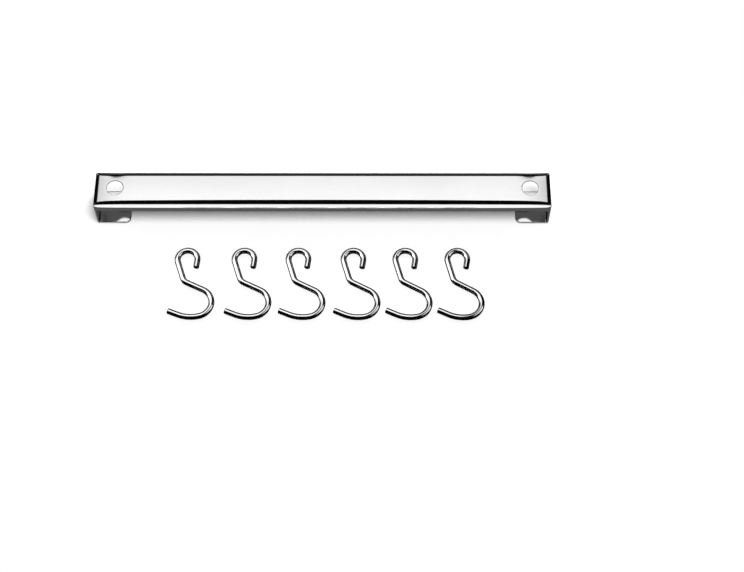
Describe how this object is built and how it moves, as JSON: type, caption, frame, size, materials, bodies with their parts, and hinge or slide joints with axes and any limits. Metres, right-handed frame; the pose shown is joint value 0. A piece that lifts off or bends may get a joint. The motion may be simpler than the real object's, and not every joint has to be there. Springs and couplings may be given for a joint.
{
  "type": "kitchen utensil rail",
  "caption": "Polished steel wall rail folded from one sheet, with turned-back edges, inward feet and screwdriver holes, laid out with its loose bent-wire S-hooks.",
  "frame": {"origin": "on the wall plane, midway between the two screw holes in the feet", "axes": "+X along the rail, +Y to the side that is up on the wall, +Z away from the wall"},
  "size_m": [0.4, 0.1316, 0.034],
  "materials": {
    "rail_steel": "mirror-polished stainless sheet",
    "hook_chrome": "bright chromed wire"
  },
  "bodies": {
    "root": {"rail": "rail_steel", "hook_1": "hook_chrome", "hook_2": "hook_chrome", "hook_3": "hook_chrome", "hook_4": "hook_chrome", "hook_5": "hook_chrome", "hook_6": "hook_chrome"}
  },
  "joints": []
}
